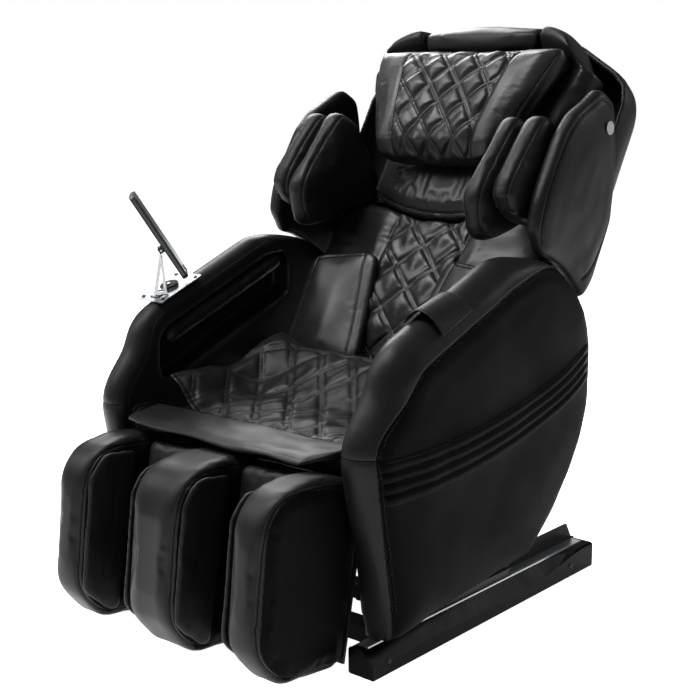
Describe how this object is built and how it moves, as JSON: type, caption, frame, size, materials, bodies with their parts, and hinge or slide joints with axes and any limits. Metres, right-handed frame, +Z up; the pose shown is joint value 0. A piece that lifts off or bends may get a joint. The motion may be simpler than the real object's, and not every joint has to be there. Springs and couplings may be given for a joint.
{
  "type": "massage chair",
  "caption": "Zero-gravity massage recliner with quilted seat and back, padded side arms, shoulder air pads, winged headrest, calf wells and a tilting control panel on a sliding steel base",
  "frame": {"origin": "on the floor under the middle of the chair's box", "axes": "+Z up, the sitter faces -Y, +X is the sitter's left, X = 0 is the plane that the seat and the arms mirror in"},
  "size_m": [0.78, 1.2066, 1.1591],
  "materials": {
    "leather": "black grained upholstery leather, satin",
    "gloss_steel": "gloss black paint",
    "frame_steel": "satin black powder coat",
    "bright_steel": "brushed, unpainted",
    "black_plastic": "moulded, fine grain",
    "rubber": "matt black"
  },
  "bodies": {
    "base": {"base_rail_left": "gloss_steel", "base_rail_right": "gloss_steel", "slide_track_left": "bright_steel", "slide_track_right": "bright_steel", "base_front_beam": "frame_steel", "base_rear_beam": "frame_steel"},
    "wheel_left": {"transport_wheel_left": "rubber"},
    "wheel_right": {"transport_wheel_right": "rubber"},
    "carriage": {"carriage_frame": "frame_steel", "glide_shoe_left": "black_plastic", "glide_shoe_right": "black_plastic", "arm_shell_left": "leather", "arm_shell_right": "leather", "forearm_roll_left": "leather", "forearm_roll_right": "leather", "hand_strap": "leather", "seat_cushion": "leather", "seat_mat": "leather", "front_flap": "leather", "holder_plate": "bright_steel"},
    "stand": {"panel_stand": "bright_steel"},
    "panel": {"panel": "black_plastic"},
    "back": {"back_frame": "frame_steel", "back_shell": "leather", "back_cushion": "leather", "neck_pad": "leather", "head_pillow": "leather", "side_wing_left": "leather", "side_wing_right": "leather", "wing_button": "bright_steel", "shoulder_pad_inner_left": "leather", "shoulder_pad_inner_right": "leather", "shoulder_pad_outer_left": "leather", "shoulder_pad_outer_right": "leather", "hood_middle": "leather", "hood_bolster_left": "leather", "hood_bolster_right": "leather", "hip_pad_left": "leather", "hip_pad_right": "leather"},
    "massage_head": {"mech_carriage": "frame_steel"},
    "knead_left": {"knead_arm_left": "black_plastic"},
    "knead_right": {"knead_arm_right": "black_plastic"},
    "roller_lower_left": {"roller_lower_left": "rubber"},
    "roller_lower_right": {"roller_lower_right": "rubber"},
    "roller_upper_left": {"roller_upper_left": "rubber"},
    "roller_upper_right": {"roller_upper_right": "rubber"},
    "leg_lift": {"leg_lift_frame": "frame_steel"},
    "leg_rest": {"leg_rear_pan": "black_plastic", "leg_fin_outer_left": "leather", "leg_fin_outer_right": "leather", "leg_fin_middle": "leather", "calf_pad_left": "leather", "calf_pad_right": "leather", "calf_cell_inner_left": "leather", "calf_cell_inner_right": "leather", "calf_cell_outer_left": "leather", "calf_cell_outer_right": "leather"}
  },
  "joints": [
    {"name": "wheel_left_spin", "type": "hinge", "parent": "base", "child": "wheel_left", "pos_m": [0.326, 0.34912, 0.0255], "axis": [1, 0, 0], "continuous": true},
    {"name": "wheel_right_spin", "type": "hinge", "parent": "base", "child": "wheel_right", "pos_m": [-0.326, 0.34912, 0.0255], "axis": [1, 0, 0], "continuous": true},
    {"name": "carriage_slide", "type": "slide", "parent": "base", "child": "carriage", "axis": [0, -1, 0], "range_m": [0, 0.12]},
    {"name": "back_recline", "type": "hinge", "parent": "carriage", "child": "back", "pos_m": [0, 0.06012, 0.436], "axis": [-1, 0, 0], "range_deg": [-8, 42]},
    {"name": "mech_travel", "type": "slide", "parent": "back", "child": "massage_head", "axis": [0, 0.515, 0.8572], "range_m": [-0.15, 0.28]},
    {"name": "knead_left_swing", "type": "hinge", "parent": "massage_head", "child": "knead_left", "pos_m": [0.062, 0.25573, 0.59846], "axis": [1, 0, 0], "range_deg": [-12, 12]},
    {"name": "knead_right_swing", "type": "hinge", "parent": "massage_head", "child": "knead_right", "pos_m": [-0.062, 0.25573, 0.59846], "axis": [1, 0, 0], "range_deg": [-12, 12]},
    {"name": "roller_lower_left_spin", "type": "hinge", "parent": "knead_left", "child": "roller_lower_left", "pos_m": [0.0803, 0.21968, 0.53846], "axis": [1, 0, 0], "continuous": true},
    {"name": "roller_upper_left_spin", "type": "hinge", "parent": "knead_left", "child": "roller_upper_left", "pos_m": [0.0803, 0.29179, 0.65846], "axis": [1, 0, 0], "continuous": true},
    {"name": "roller_lower_right_spin", "type": "hinge", "parent": "knead_right", "child": "roller_lower_right", "pos_m": [-0.0803, 0.21968, 0.53846], "axis": [1, 0, 0], "continuous": true},
    {"name": "roller_upper_right_spin", "type": "hinge", "parent": "knead_right", "child": "roller_upper_right", "pos_m": [-0.0803, 0.29179, 0.65846], "axis": [1, 0, 0], "continuous": true},
    {"name": "leg_lift_hinge", "type": "hinge", "parent": "carriage", "child": "leg_lift", "pos_m": [0, -0.35488, 0.38], "axis": [-1, 0, 0], "range_deg": [0, 78], "deforming": ["front_flap"]},
    {"name": "leg_extend", "type": "slide", "parent": "leg_lift", "child": "leg_rest", "axis": [0, -0.2079, -0.9781], "range_m": [-0.0002, 0.1002]},
    {"name": "panel_swivel", "type": "hinge", "parent": "carriage", "child": "stand", "pos_m": [-0.325, -0.23088, 0.6233], "axis": [0, -0.3616, 0.9323], "range_deg": [-25, 25]},
    {"name": "panel_tilt", "type": "hinge", "parent": "stand", "child": "panel", "pos_m": [-0.30897, -0.26616, 0.70768], "axis": [-0.7502, 0.6612, 0], "range_deg": [-10, 30]}
  ],
  "couplings": [
    {"joint": "leg_extend", "follows": "leg_lift_hinge", "m_per_rad": 0.073456}
  ]
}
